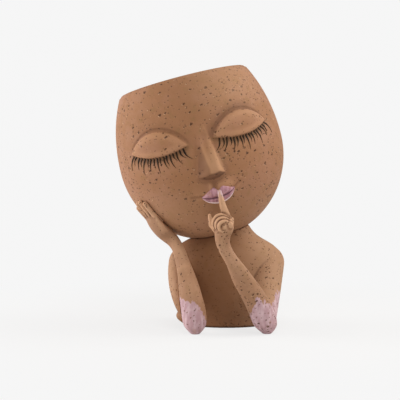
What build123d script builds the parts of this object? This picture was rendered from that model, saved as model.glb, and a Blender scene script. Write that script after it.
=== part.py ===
from build123d import *
import os
from math import cos, radians, sin, sqrt

os.makedirs("parts", exist_ok=True)

# Head planter: a hollow head that leans on its own two hands, on a small bust
# Millimetres; +Z up, the face looks to -Y, origin at the centre of the bust's resting face

# Head: two half ellipsoids that share their widest ring, on one leaning axis
head_radius = 60.8
crown_rise = 88.0
chin_drop = 63.0
rim_level = 55.0
head_tilt = 14.5
chin_seat = (-2.8, 0.0, 64.9)
wall = 5.0
floor_thickness = 8.0
rim_round = 1.8
glue_line = 0.15

# Drain: a spigot under the bowl that drips into the hollow bust
drain_radius = 5.0
spigot_radius = 8.0
spigot_length = 8.0
spigot_level = -(chin_drop + spigot_length)

# Closed eyelids, lens shaped; turns are degrees from the front, towards +X
left_eye_turn = -29.5
left_eye_level = 12.4
right_eye_turn = 32.6
right_eye_level = 13.2
lid_half_width = 24.0
lid_rise = 10.4
lid_sag = 8.6
inner_corner_dip = -5.0
outer_corner_dip = -1.0
lid_lift = 3.6
lid_curve = 38.0
lid_drop = 2.0
relief_depth = 12.0

# Painted lashes under each lid, long and short by turns
lash_count = 19
long_lash = 9.2
short_lash = 6.4
lash_width = 0.8
lash_line_width = 0.9
lash_bow = 0.5
lash_fan = 34.0
paint_build = 0.4

# Nose: a soft ridge that widens to a small tip
nose_turn = 4.8
nose_levels = (22.0, 11.0, 1.0, -7.5, -12.5, -15.5)
nose_half_widths = (5.0, 4.8, 5.4, 7.0, 8.2, 6.0)
nose_proud = (-0.6, 1.8, 4.2, 7.0, 7.8, 5.2)
nose_root = 7.0

# Muzzle swelling and lips
mouth_turn = 5.0
mouth_level = -30.5
muzzle_curve = 24.0
muzzle_lift = 1.6
lips_half_width = 11.8
lips_corner_rise = 2.0
lips_peak_out = 3.1
lips_peak_rise = 6.4
lips_dip_rise = 4.8
lips_wing_out = 7.7
lips_wing_rise = 3.6
lips_low_out = 5.6
lips_low_drop = 5.4
lips_bottom_drop = 6.1
lips_lift = 3.6
lips_curve = 15.0
lips_seam_drop = 1.2
lips_seam_half = 0.45
lips_seam_depth = 1.4

# Bust: oval sections from the resting face up to the neck
bust_levels = (0.0, 11.0, 22.0, 33.0, 43.0, 51.0, 58.0, 65.0, 71.0, 77.0)
bust_half_widths = (31.0, 34.3, 37.0, 38.8, 40.0, 40.4, 35.6, 24.4, 18.4, 17.0)
bust_half_depths = (23.0, 25.0, 26.4, 26.8, 26.2, 24.4, 21.8, 19.2, 17.6, 17.0)
hollow_levels = (0.0, 15.0, 30.0, 45.0, 60.0, 75.0)
hollow_half_widths = (25.5, 30.0, 33.0, 33.0, 16.0, 12.6)
hollow_half_depths = (17.5, 19.5, 21.0, 19.5, 14.0, 12.6)

# Base plate let into the underside, with the outlet and the plug's seat
plate_thickness = 4.0
plate_margin = 3.0
plate_half_width = bust_half_widths[0] - plate_margin
plate_half_depth = bust_half_depths[0] - plate_margin
outlet_radius = 6.0
seat_radius = 10.0
seat_depth = 2.4

# Drain plug: flange, tapered stem and a grip bar in its hollow underside
plug_gap = 0.3
plug_flange = 1.7
plug_recess = 0.4
plug_length = 8.0
plug_taper = 0.5
plug_hollow_radius = 3.6
plug_hollow_depth = 5.0
plug_bar_width = 1.6

# Arms; each elbow rests on the ground in front of the bust
left_shoulder = (-29.6, -2.0, 45.4)
left_upper_middle = (-30.6, -24.0, 27.0)
left_elbow = (-22.6, -47.0, 8.7)
right_shoulder = (30.2, -2.0, 45.6)
right_upper_middle = (28.8, -24.0, 28.0)
right_elbow = (26.6, -47.0, 8.7)
shoulder_radius = 12.9
upper_middle_radius = 10.0
elbow_radius = 8.5
elbow_tuck = 1.5

# Forearm whose hand lies on the cheek: middle, half width across and half depth of each section
cheek_arm_middles = (
    (-22.6, -48.8, -2.4),
    (-22.6, -48.2, 1.4),
    (-22.8, -47.2, 5.8),
    (-23.4, -45.0, 12.0),
    (-25.0, -41.6, 21.0),
    (-27.8, -35.8, 33.6),
    (-30.4, -31.0, 43.8),
    (-33.6, -26.6, 54.0),
    (-37.6, -23.4, 61.8),
)
cheek_arm_half_widths = (3.4, 6.0, 7.8, 8.6, 8.5, 7.3, 5.8, 4.8, 5.0)
cheek_arm_half_depths = (3.4, 6.0, 7.8, 8.6, 8.2, 6.9, 5.4, 4.4, 4.4)
cheek_hand_turn = -62.0
cheek_palm_levels = (-47.0, -41.5, -36.0, -31.0)
cheek_palm_half_widths = (7.2, 8.8, 9.0, 8.2)
cheek_palm_half_depths = (5.0, 4.2, 2.8, 1.3)
cheek_palm_lifts = (4.8, 3.7, 2.0, 1.0)
finger_turns = (-55.0, -60.0, -65.0, -69.8)
finger_root_levels = (-38.5, -38.0, -38.0, -39.0)
finger_tip_levels = (-24.2, -22.6, -23.4, -26.2)
finger_root_radius = 2.45
finger_tip_radius = 1.8
finger_lift = 1.8

# Forearm that holds one finger to the lips; its hand is measured from the middle of the mouth
hush_arm_middles = (
    (27.4, -46.4, -2.4),
    (27.4, -46.6, 1.4),
    (26.8, -47.1, 5.8),
    (24.6, -48.0, 12.5),
    (19.6, -50.0, 23.0),
    (12.6, -53.5, 34.8),
    (6.2, -56.5, 45.5),
    (0.0, -59.0, 56.0),
    (-3.6, -60.5, 64.3),
)
hush_palm_offsets = ((3.0, -8.5, -26.0), (5.6, -9.0, -19.5))
hush_arm_half_widths = (3.4, 6.0, 7.8, 8.6, 8.1, 7.2, 5.8, 4.4, 4.8, 5.8, 4.6)
hush_arm_half_depths = (3.4, 6.0, 7.8, 8.4, 7.8, 6.7, 5.3, 4.4, 5.0, 6.6, 6.8)
knuckle_radius = 2.6
knuckle_offsets = ((7.8, -7.8, -17.7), (7.6, -11.0, -19.1), (7.2, -13.8, -20.7))
raised_finger_offsets = ((6.8, -5.6, -19.9), (2.8, -5.6, -8.1), (0.4, -4.8, 1.7))
raised_finger_radii = (3.3, 2.3, 1.6)
curl_depths = (-7.8, -11.0, -13.8)
curl_radii = (2.0, 1.9, 1.75)
curl_runs = (
    ((3.8, -15.3), (-0.4, -15.2), (-2.9, -17.9), (-2.8, -21.5), (0.0, -24.5)),
    ((4.2, -17.1), (0.8, -17.2), (-1.2, -19.5), (-0.9, -22.5), (1.8, -24.9)),
    ((4.8, -18.9), (2.2, -19.1), (0.5, -20.9), (0.8, -23.3), (3.2, -25.3)),
)
thumb_offsets = ((0.8, -4.6, -26.9), (-5.0, -2.6, -21.1), (-6.3, -2.2, -14.7))
thumb_radii = (2.9, 2.0, 1.2)

# Head frame: one axis across the ring, one into the depth, one up the leaning axis
head_across = Vector(cos(radians(head_tilt)), 0, sin(radians(head_tilt)))
head_deep = Vector(0, 1, 0)
head_up = Vector(-sin(radians(head_tilt)), 0, cos(radians(head_tilt)))
head_centre = Vector(chin_seat) + head_up * chin_drop
head_plane = Plane(origin=head_centre, x_dir=head_across, z_dir=-head_deep)
head_axis = Axis(head_centre, head_up)


def on_axis(level):
    """point on the head's axis"""
    return head_centre + head_up * level


def half_height(level):
    """half height of the ellipsoid that a level lies on"""
    return crown_rise if level > 0 else chin_drop


def outward(turn, level):
    """direction square to the head's outer form"""
    reach = head_radius * sqrt(1 - (level / half_height(level)) ** 2)
    along = head_across * sin(radians(turn)) - head_deep * cos(radians(turn))
    return (along * (reach / head_radius**2) + head_up * (level / half_height(level) ** 2)).normalized()


def on_head(turn, level, lift=0):
    """point on the head's outer form, lifted off it"""
    reach = head_radius * sqrt(1 - (level / half_height(level)) ** 2)
    along = head_across * sin(radians(turn)) - head_deep * cos(radians(turn))
    return on_axis(level) + along * reach + outward(turn, level) * lift


def face_plane(turn, level):
    """plane on the head there: x along the ring, z outwards"""
    along_ring = head_across * cos(radians(turn)) + head_deep * sin(radians(turn))
    return Plane(origin=on_head(turn, level), x_dir=along_ring, z_dir=outward(turn, level))


def from_mouth(offsets):
    """points measured from the middle of the mouth, so that the raised hand stays with it"""
    return [on_head(mouth_turn, mouth_level) + Vector(offset) for offset in offsets]


def limb_planes(middles, across):
    """one plane at each middle, square to the run of the limb"""
    planes = []
    for index in range(len(middles)):
        before = Vector(middles[max(index - 1, 0)])
        after = Vector(middles[min(index + 1, len(middles) - 1)])
        way = (after - before).normalized()
        side = (across - way * across.dot(way)).normalized()
        planes.append(Plane(origin=middles[index], x_dir=side, z_dir=way))
    return planes


# A finger bone: a straight taper with both ends round
def bone_form(root, tip, root_radius, tip_radius):
    run = Vector(tip) - Vector(root)
    with BuildPart() as bone:
        with BuildSketch(Plane(origin=root, x_dir=run.normalized(), z_dir=run.cross(head_up).normalized())):
            with BuildLine():
                CenterArc((0, 0), root_radius, start_angle=90, arc_size=90)
                CenterArc((run.length, 0), tip_radius, start_angle=0, arc_size=90)
                Line((0, root_radius), (run.length, tip_radius))
                Line((-root_radius, 0), (run.length + tip_radius, 0))
            make_face()
        revolve(axis=Axis(root, run))
    return bone.part


# A curled finger: round sections from the knuckle round to the tucked tip
def curl_form(middles, radius):
    with BuildPart() as curl:
        for plane in limb_planes(middles, Vector(0, 1, 0)):
            with BuildSketch(plane):
                Circle(radius)
        loft()
    return curl.part


# One egg-shaped form on the head's axis; its two quarter ellipses meet at the widest ring
def egg_form(wide, high, low):
    with BuildPart() as form:
        with BuildSketch(head_plane):
            with BuildLine():
                Bezier((wide, 0), (wide, high), (0, high), weights=(1, sqrt(1 / 2), 1))
                Bezier((0, -low), (wide, -low), (wide, 0), weights=(1, sqrt(1 / 2), 1))
                Line((0, high), (0, -low))
            make_face()
        revolve(axis=head_axis)
    return form.part


# Outer form of the head, grown by a margin; cuts the seats that the head rests in
def head_form(margin):
    return egg_form(head_radius + margin, crown_rise + margin, chin_drop + margin)


# Eyelid blank: a lens-shaped prism cut to a dome that stands proud of the head
def lid_form(turn, level, side):
    with BuildPart() as lid:
        with BuildSketch(face_plane(turn, level)):
            with BuildLine():
                inner = (-side * lid_half_width, inner_corner_dip)
                outer = (side * lid_half_width, outer_corner_dip)
                ThreePointArc(inner, (0, lid_rise), outer)
                ThreePointArc(outer, (0, -lid_sag), inner)
            make_face()
        extrude(amount=relief_depth, both=True)
        dome_middle = on_head(turn, level, lid_lift - lid_curve) - face_plane(turn, level).y_dir * lid_drop
        with Locations(dome_middle):
            Sphere(lid_curve, mode=Mode.INTERSECT)
    return lid.part


# Head pot: outer form, relief of the face, then the planting bowl and its drain
with BuildPart() as nose:
    for level, half_width, proud in zip(nose_levels, nose_half_widths, nose_proud):
        reach = head_radius * sqrt(1 - (level / half_height(level)) ** 2)
        along = head_across * sin(radians(nose_turn)) - head_deep * cos(radians(nose_turn))
        ring = head_across * cos(radians(nose_turn)) + head_deep * sin(radians(nose_turn))
        middle = on_axis(level) + along * (reach - nose_root)
        with BuildSketch(Plane(origin=middle, x_dir=ring, z_dir=head_up)):
            Ellipse(half_width, nose_root + proud)
    loft()

with BuildPart() as head_pot:
    add(head_form(0))
    add(lid_form(left_eye_turn, left_eye_level, -1))
    add(lid_form(right_eye_turn, right_eye_level, 1))
    add(nose.part)
    with Locations(on_head(mouth_turn, mouth_level, muzzle_lift - muzzle_curve)):
        Sphere(muzzle_curve)
    with BuildSketch(Plane(origin=on_axis(spigot_level), x_dir=head_across, z_dir=head_up)):
        Circle(spigot_radius)
    extrude(amount=wall - spigot_level - chin_drop)
    add(egg_form(head_radius - wall, crown_rise - wall, chin_drop - floor_thickness), mode=Mode.SUBTRACT)
    with BuildSketch(Plane(origin=on_axis(spigot_level), x_dir=head_across, z_dir=head_up)):
        Circle(drain_radius)
    extrude(amount=-spigot_level, mode=Mode.SUBTRACT)
    split(bisect_by=Plane(origin=on_axis(rim_level), x_dir=head_across, z_dir=head_up), keep=Keep.BOTTOM)
    rim_edges = head_pot.faces().sort_by(head_axis)[-1].edges()
    fillet(rim_edges, radius=rim_round)

# Lips: a bow-shaped prism cut to a dome, scored along the mouth and seated on the head
with BuildPart() as lips:
    with BuildSketch(face_plane(mouth_turn, mouth_level)):
        with BuildLine():
            left_corner = (-lips_half_width, 0)
            right_corner = (lips_half_width, lips_corner_rise)
            Spline(left_corner, (-lips_wing_out, lips_wing_rise), (-lips_peak_out, lips_peak_rise))
            Spline((-lips_peak_out, lips_peak_rise), (0, lips_dip_rise), (lips_peak_out, lips_peak_rise))
            Spline((lips_peak_out, lips_peak_rise), (lips_wing_out, lips_wing_rise), right_corner)
            Spline(
                right_corner,
                (lips_low_out, -lips_low_drop),
                (0, -lips_bottom_drop),
                (-lips_low_out, -lips_low_drop),
                left_corner,
            )
        make_face()
    extrude(amount=lips_curve, both=True)
    with Locations(on_head(mouth_turn, mouth_level, lips_lift - lips_curve)):
        Sphere(lips_curve, mode=Mode.INTERSECT)
    with BuildSketch(face_plane(mouth_turn, mouth_level).offset(lips_lift - lips_seam_depth)):
        with BuildLine():
            ThreePointArc(left_corner, (0, -lips_seam_drop + lips_seam_half), right_corner)
            ThreePointArc(left_corner, (0, -lips_seam_drop - lips_seam_half), right_corner)
        make_face()
    extrude(amount=lips_curve, mode=Mode.SUBTRACT)
    add(head_form(0), mode=Mode.SUBTRACT)
    add(head_pot.part, mode=Mode.SUBTRACT)


# Lashes of one eye: a line along the lid's lower edge and tapered strokes that fan out below it
def lash_set(turn, level, side):
    root_drop = (inner_corner_dip + outer_corner_dip) / 2
    fall = lid_sag + root_drop
    corner_slope = side * (outer_corner_dip - inner_corner_dip) / (2 * lid_half_width)
    with BuildPart() as lashes:
        with BuildSketch(face_plane(turn, level)):
            with BuildLine():
                inner = (-side * lid_half_width, inner_corner_dip)
                outer = (side * lid_half_width, outer_corner_dip)
                ThreePointArc(inner, (0, -lid_sag + lash_line_width), outer)
                ThreePointArc(outer, (0, -lid_sag - lash_line_width), inner)
            make_face()
            for number in range(lash_count):
                share = 2 * (number + 0.5) / lash_count - 1
                out = share * lid_half_width
                root = root_drop + corner_slope * out - fall * (1 - share**2)
                length = long_lash if number % 2 == 0 else short_lash
                lean = radians(-90 + lash_fan * share)
                way = Vector(cos(lean), sin(lean))
                square = Vector(-sin(lean), cos(lean))
                start = Vector(out, root) - way * lash_line_width
                tip = start + way * length
                middle = start + way * (length / 2) - square * (lash_bow * side)
                with BuildLine():
                    Spline(start + square * (lash_width / 2), middle + square * (lash_width / 3), tip)
                    Spline(start - square * (lash_width / 2), middle - square * (lash_width / 3), tip)
                    Line(start + square * (lash_width / 2), start - square * (lash_width / 2))
                make_face()
        extrude(amount=relief_depth, both=True)
        add(head_form(paint_build), mode=Mode.INTERSECT)
        add(head_form(0), mode=Mode.SUBTRACT)
        add(head_pot.part, mode=Mode.SUBTRACT)
    return lashes.part


with BuildPart() as left_lashes:
    add(lash_set(left_eye_turn, left_eye_level, -1))

with BuildPart() as right_lashes:
    add(lash_set(right_eye_turn, right_eye_level, 1))

# Forearm with the open hand: oval sections from elbow to wrist to palm, then four fingers
cheek_axis = face_plane(cheek_hand_turn, cheek_palm_levels[0]).x_dir
cheek_palm_middles = [
    on_head(cheek_hand_turn, level, lift) for level, lift in zip(cheek_palm_levels, cheek_palm_lifts)
]
cheek_middles = list(cheek_arm_middles) + cheek_palm_middles
cheek_half_widths = cheek_arm_half_widths + cheek_palm_half_widths
cheek_half_depths = cheek_arm_half_depths + cheek_palm_half_depths

with BuildPart() as cheek_forearm:
    for plane, across, deep in zip(
        limb_planes(cheek_middles, cheek_axis), cheek_half_widths, cheek_half_depths
    ):
        with BuildSketch(plane):
            Ellipse(across, deep)
    loft()
    for turn, root_level, tip_level in zip(finger_turns, finger_root_levels, finger_tip_levels):
        root = on_head(turn, root_level, finger_lift)
        tip = on_head(turn, tip_level, finger_lift)
        add(bone_form(root, tip, finger_root_radius, finger_tip_radius))
    add(head_form(glue_line), mode=Mode.SUBTRACT)
    split(bisect_by=Plane.XY, keep=Keep.TOP)

# Forearm with the raised finger: sections from elbow to fist, three curled fingers and a thumb
hush_middles = list(hush_arm_middles) + from_mouth(hush_palm_offsets)
raised_finger = (from_mouth(raised_finger_offsets), raised_finger_radii)
thumb = (from_mouth(thumb_offsets), thumb_radii)

with BuildPart() as hush_forearm:
    for plane, across, deep in zip(
        limb_planes(hush_middles, Vector(1, 0, 0)), hush_arm_half_widths, hush_arm_half_depths
    ):
        with BuildSketch(plane):
            Ellipse(across, deep)
    loft()
    for middles, radii in (raised_finger, thumb):
        for root, tip, root_radius, tip_radius in zip(middles, middles[1:], radii, radii[1:]):
            add(bone_form(root, tip, root_radius, tip_radius))
    for knuckle, depth, radius, run in zip(from_mouth(knuckle_offsets), curl_depths, curl_radii, curl_runs):
        add(curl_form([knuckle] + from_mouth([(across, depth, rise) for across, rise in run]), radius))
        with Locations(knuckle):
            Sphere(knuckle_radius)
    split(bisect_by=Plane.XY, keep=Keep.TOP)
    add(head_pot.part, mode=Mode.SUBTRACT)
    add(lips.part, mode=Mode.SUBTRACT)

# Bust: hollow oval body with shoulders and upper arms, cut to take the head, forearms and plate
with BuildPart() as torso:
    for level, half_width, half_depth in zip(bust_levels, bust_half_widths, bust_half_depths):
        with BuildSketch(Plane.XY.offset(level)):
            Ellipse(half_width, half_depth)
    loft()
    for shoulder, middle, elbow in (
        (left_shoulder, left_upper_middle, left_elbow),
        (right_shoulder, right_upper_middle, right_elbow),
    ):
        upper_radii = (shoulder_radius, upper_middle_radius, elbow_radius - elbow_tuck)
        for plane, radius in zip(limb_planes((shoulder, middle, elbow), Vector(1, 0, 0)), upper_radii):
            with BuildSketch(plane):
                Circle(radius)
        loft()
        with Locations(shoulder):
            Sphere(shoulder_radius)
    for level, half_width, half_depth in zip(hollow_levels, hollow_half_widths, hollow_half_depths):
        with BuildSketch(Plane.XY.offset(level)):
            Ellipse(half_width, half_depth)
    loft(mode=Mode.SUBTRACT)
    with BuildSketch(Plane.XY):
        Ellipse(plate_half_width + glue_line, plate_half_depth + glue_line)
    extrude(amount=plate_thickness, mode=Mode.SUBTRACT)
    add(head_form(glue_line), mode=Mode.SUBTRACT)
    add(cheek_forearm.part, mode=Mode.SUBTRACT)
    add(hush_forearm.part, mode=Mode.SUBTRACT)
    split(bisect_by=Plane.XY, keep=Keep.TOP)

# Base plate: closes the underside, with the outlet and a stepped seat
with BuildPart() as base_plate:
    with BuildSketch(Plane.XY):
        Ellipse(plate_half_width, plate_half_depth)
    extrude(amount=plate_thickness)
    with BuildSketch(Plane.XY):
        Circle(outlet_radius)
    extrude(amount=plate_thickness, mode=Mode.SUBTRACT)
    with BuildSketch(Plane.XY):
        Circle(seat_radius)
    extrude(amount=seat_depth, mode=Mode.SUBTRACT)

# Drain plug: turned profile, hollowed from below, with a bar to grip
with BuildPart() as drain_plug:
    flange_top = plug_recess + plug_flange
    stem_radius = outlet_radius - plug_gap
    with BuildSketch(Plane.XZ):
        with BuildLine():
            Polyline(
                (0, plug_recess),
                (seat_radius - plug_gap, plug_recess),
                (seat_radius - plug_gap, flange_top),
                (stem_radius, flange_top),
                (stem_radius - plug_taper, plug_recess + plug_length),
                (0, plug_recess + plug_length),
                (0, plug_recess),
            )
        make_face()
    revolve(axis=Axis.Z)
    with BuildSketch(Plane.XY.offset(plug_recess)):
        Circle(plug_hollow_radius)
        Rectangle(2 * plug_hollow_radius, plug_bar_width, mode=Mode.SUBTRACT)
    extrude(amount=plug_hollow_depth, mode=Mode.SUBTRACT)

head_pot.part.label = "head_pot"
export_step(head_pot.part, "parts/head_pot.step")
lips.part.label = "lips"
export_step(lips.part, "parts/lips.step")
left_lashes.part.label = "left_lashes"
export_step(left_lashes.part, "parts/left_lashes.step")
right_lashes.part.label = "right_lashes"
export_step(right_lashes.part, "parts/right_lashes.step")
cheek_forearm.part.label = "cheek_forearm"
export_step(cheek_forearm.part, "parts/cheek_forearm.step")
hush_forearm.part.label = "hush_forearm"
export_step(hush_forearm.part, "parts/hush_forearm.step")
torso.part.label = "torso"
export_step(torso.part, "parts/torso.step")
base_plate.part.label = "base_plate"
export_step(base_plate.part, "parts/base_plate.step")
drain_plug.part.label = "drain_plug"
export_step(drain_plug.part, "parts/drain_plug.step")
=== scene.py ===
# %% [markdown]
# # Head planter: a leaning head on its own two hands
# The planter is cast in tinted resin from hand-carved moulds, and its lips, lashes and elbows are
# painted afterwards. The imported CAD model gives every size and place. Here the plain solids get
# the soft carving, the pitted surface and the brushed paint of the real casting.

from math import cos, degrees, pi, radians, sin, sqrt

import bpy
import numpy as np
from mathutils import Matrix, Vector


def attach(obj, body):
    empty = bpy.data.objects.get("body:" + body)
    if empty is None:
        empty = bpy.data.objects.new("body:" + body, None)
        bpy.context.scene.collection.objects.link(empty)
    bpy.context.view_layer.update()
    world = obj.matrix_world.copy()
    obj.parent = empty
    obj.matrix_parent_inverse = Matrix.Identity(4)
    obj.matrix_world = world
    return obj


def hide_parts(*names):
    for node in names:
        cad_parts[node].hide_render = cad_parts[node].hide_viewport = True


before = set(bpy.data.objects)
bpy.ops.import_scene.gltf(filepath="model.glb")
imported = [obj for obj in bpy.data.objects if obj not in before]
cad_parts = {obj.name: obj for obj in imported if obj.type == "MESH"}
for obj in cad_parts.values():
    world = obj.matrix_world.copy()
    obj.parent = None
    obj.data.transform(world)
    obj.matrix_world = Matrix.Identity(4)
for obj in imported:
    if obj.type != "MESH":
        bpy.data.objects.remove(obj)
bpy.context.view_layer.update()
bpy.ops.object.select_all(action="DESELECT")
MM = 0.001

# %% [markdown]
# ## The camera first
# The photograph was taken from straight in front, a little above the middle of the planter.
# Its lens is a long one, so the bust and the rim hardly differ in scale. Making the camera first
# means that every later piece can be looked at from the right place.

# %% Camera at the photograph's angle
SENSOR = 36.0
FOCAL_IN_WIDTHS = 1012.5 / 400
CAMERA_PLACE = Vector((-19.3, -750.0, 114.0)) * MM
CAMERA_DROP = radians(1.697)

bpy.ops.object.camera_add(location=CAMERA_PLACE, rotation=(pi / 2 - CAMERA_DROP, 0, 0))
camera = bpy.context.object
camera.data.sensor_width = SENSOR
camera.data.lens = SENSOR * FOCAL_IN_WIDTHS
bpy.context.scene.camera = camera
print("Lens in mm:", round(camera.data.lens, 2))

# %% [markdown]
# ## The head's own measure
# Everything on the face is placed by two numbers: the turn, in degrees round the leaning axis from
# the front, and the level, in millimetres along that axis from the widest ring. A point of the face
# then keeps its place whatever the head leans by.

# %% Axes and outer form of the head
HEAD_RADIUS, CROWN_RISE, CHIN_DROP, RIM_LEVEL = 60.8, 88.0, 63.0, 55.0
WALL, FLOOR, RIM_ROUND = 5.0, 8.0, 1.8
DRAIN_RADIUS, SPIGOT_RADIUS, SPIGOT_LEVEL = 5.0, 8.0, -71.0
TILT = radians(14.5)
ACROSS = np.array((cos(TILT), 0, sin(TILT)))
DEEP = np.array((0.0, 1.0, 0.0))
UP = np.array((-sin(TILT), 0, cos(TILT)))
CHIN_SEAT = np.array((-2.8, 0.0, 64.9))
HEAD_CENTRE = CHIN_SEAT + UP * CHIN_DROP


def egg_radius(level, wide=HEAD_RADIUS, high=CROWN_RISE, low=CHIN_DROP):
    """Radius of an egg form at a level."""
    level = np.asarray(level, float)
    half = np.where(level > 0, high, low)
    return wide * np.sqrt(np.clip(1 - (level / half) ** 2, 0, 1))


def on_head(turn, level, lift=0.0):
    """Points on the head's outer form, lifted square to it, in mm."""
    turn, level = np.radians(np.asarray(turn, float)), np.asarray(level, float)
    along = np.sin(turn)[..., None] * ACROSS - np.cos(turn)[..., None] * DEEP
    reach = egg_radius(level)[..., None]
    half = np.where(level > 0, CROWN_RISE, CHIN_DROP)
    square = along * reach / HEAD_RADIUS**2 + (level / half**2)[..., None] * UP
    square /= np.linalg.norm(square, axis=-1, keepdims=True)
    return HEAD_CENTRE + UP * level[..., None] + along * reach + square * np.asarray(lift)[..., None]


def turn_and_level(points):
    """Turn, level and radius of points in mm."""
    local = points - HEAD_CENTRE
    across, deep, level = local @ ACROSS, local @ DEEP, local @ UP
    return np.degrees(np.arctan2(across, -deep)), level, np.hypot(across, deep)


def face_axes(turn, level):
    """Origin and axes of the plane that touches the head there: x along the ring, z outwards."""
    origin = on_head(turn, level)
    outwards = on_head(turn, level, 1.0) - origin
    ring = ACROSS * cos(radians(turn)) + DEEP * sin(radians(turn))
    return origin, ring, np.cross(outwards, ring), outwards


def to_plane(axes, points):
    """Places across and up a face plane, for points in mm."""
    origin, ring, rise, _ = axes
    return (points - origin) @ ring, (points - origin) @ rise


def from_plane(axes, across, up):
    """Turn and level of the outer form behind places on a face plane."""
    origin, ring, rise, outwards = axes
    point = origin + np.asarray(across)[..., None] * ring + np.asarray(up)[..., None] * rise
    for _ in range(12):
        local = point - HEAD_CENTRE
        high = local @ UP
        half = np.where(high > 0, CROWN_RISE, CHIN_DROP)
        flat = local - high[..., None] * UP
        form = (flat**2).sum(-1) / HEAD_RADIUS**2 + (high / half) ** 2 - 1
        slope = 2 * (flat @ outwards) / HEAD_RADIUS**2 + 2 * high / half**2 * (UP @ outwards)
        point = point - (form / slope)[..., None] * outwards
    turn, level, _ = turn_and_level(point)
    return turn, level


print("Rim radius in mm:", round(float(egg_radius(RIM_LEVEL)), 1))

# %% [markdown]
# ## Carving as a height field
# A sculptor would press the eye sockets in and raise the lids, nose and muzzle in clay. The same
# carving can be written as one height at each turn and level. Smooth steps give the soft banks,
# and circles through three corners give the lens shape of the closed lids.

# %% Soft steps and smooth lines
def soft_step(start, end, value):
    """0 before start, 1 after end, with a smooth bank between."""
    share = np.clip((np.asarray(value, float) - start) / (end - start), 0, 1)
    return share * share * (3 - 2 * share)


def smooth_line(places, heights, value):
    """A smooth curve through a few points, read at value."""
    places, heights = np.asarray(places, float), np.asarray(heights, float)
    slopes = np.gradient(heights, places)
    value = np.clip(value, places[0], places[-1])
    left = np.clip(np.searchsorted(places, value, side="right") - 1, 0, len(places) - 2)
    gap = places[left + 1] - places[left]
    share = (value - places[left]) / gap
    rise = heights[left + 1] - heights[left]
    cubic = share * share * (3 - 2 * share)
    ease_in = share * (1 - share) ** 2 * gap * slopes[left]
    ease_out = share**2 * (share - 1) * gap * slopes[left + 1]
    return heights[left] + rise * cubic + ease_in + ease_out


def circle_through(first, second, third):
    """Centre and radius of the circle through three points."""
    (ax, ay), (bx, by), (cx, cy) = first, second, third
    matrix = np.array(((bx - ax, by - ay), (cx - ax, cy - ay))) * 2
    right = np.array((bx**2 - ax**2 + by**2 - ay**2, cx**2 - ax**2 + cy**2 - ay**2))
    centre = np.linalg.solve(matrix, right)
    return centre, float(np.hypot(ax - centre[0], ay - centre[1]))


print("A soft step, a quarter, half and three quarters up:", soft_step(0, 1, (0.25, 0.5, 0.75)))

# %% [markdown]
# ## Closed lids
# Each lid of the real planter is a smooth cushion in a shallow socket, with a crease above it. It
# could be sculpted with a brush. A lens between two circles is chosen, because the carving, the
# lashes and the painted shade below and above the lid can then all use the same edge, and so they meet.

# %% Eyelids and their sockets: each eye has its turn, its level and its side
LID_HALF_WIDTH, LID_RISE, LID_SAG = 24.0, 10.4, 8.6
INNER_DIP, OUTER_DIP = -5.0, -1.0
LID_LIFT = 3.4
LID_TOP_BANK, LID_LOW_BANK = (-1.2, 2.8), (-0.6, 1.2)
SOCKET_DEPTH, SOCKET_RISE, SOCKET_HALF_WIDTH, SOCKET_HALF_HEIGHT = 2.0, 5.0, 30.0, 19.0
CREASE_DEPTH, CREASE_WIDTH, CREASE_OFFSET = 0.45, 0.95, 0.6
BELOW_LID_BANK, BELOW_LID_EDGE = (-6.0, -0.8), (1.0, -0.1)
SHADE_BANK, SHADE_EDGE, SHADE_WIDTH = (-9.0, -1.0), (1.2, -0.4), (24, 6)
LEFT_SHADE, RIGHT_SHADE = 0.1, 0.36
EYES = {"left": (-29.5, 12.4, -1), "right": (32.6, 13.2, 1)}


def lens_depth(across, up, side):
    """How far inside the upper and the lower edge of the lid a place is."""
    inner, outer = (-side * LID_HALF_WIDTH, INNER_DIP), (side * LID_HALF_WIDTH, OUTER_DIP)
    top_centre, top_radius = circle_through(inner, (0, LID_RISE), outer)
    low_centre, low_radius = circle_through(inner, (0, -LID_SAG), outer)
    top = top_radius - np.hypot(across - top_centre[0], up - top_centre[1])
    low = low_radius - np.hypot(across - low_centre[0], up - low_centre[1])
    return top, low


def eye_height(points, turn, level, side):
    """Height of one closed eye over the egg form."""
    across, up = to_plane(face_axes(turn, level), points)
    top, low = lens_depth(across, up, side)
    band = np.clip((low - top) / np.maximum(low + top, 0.5), -1, 1)
    arch = 1 - np.where(band > 0, 0.72, 0.45) * band**2
    dome = LID_LIFT * (1 - 0.8 * (across / LID_HALF_WIDTH) ** 2) * arch
    inside = soft_step(*LID_LOW_BANK, low) * soft_step(*LID_TOP_BANK, top)
    hollow = (across / SOCKET_HALF_WIDTH) ** 2 + ((up - SOCKET_RISE) / SOCKET_HALF_HEIGHT) ** 2
    socket = SOCKET_DEPTH * np.exp(-1.3 * hollow**1.5)
    ends = soft_step(1.08, 0.7, np.abs(across) / LID_HALF_WIDTH) * soft_step(-1.0, 3.0, low)
    crease = CREASE_DEPTH * np.exp(-(((top + CREASE_OFFSET) / CREASE_WIDTH) ** 2)) * ends
    return inside * dome - socket * (1 - 0.85 * inside) - crease


def shade_below_lid(points, turn, level, side):
    """Share of the painted shade on the skin just below the lower edge of the lid."""
    across, up = to_plane(face_axes(turn, level), points)
    top, low = lens_depth(across, up, side)
    near = np.abs(across) / LID_HALF_WIDTH
    return soft_step(1.02, 0.86, near) * soft_step(*BELOW_LID_BANK, low) * soft_step(*BELOW_LID_EDGE, low)


def lid_shade(points, turn, level, side):
    """Share of painted shade in the hollow above the lid, thicker over the viewer's right one."""
    across, up = to_plane(face_axes(turn, level), points)
    top, low = lens_depth(across, up, side)
    band = soft_step(*SHADE_BANK, top) * soft_step(*SHADE_EDGE, top) * soft_step(-3.0, 3.0, low)
    return (RIGHT_SHADE if side > 0 else LEFT_SHADE) * band * soft_step(*SHADE_WIDTH, side * across)


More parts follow.
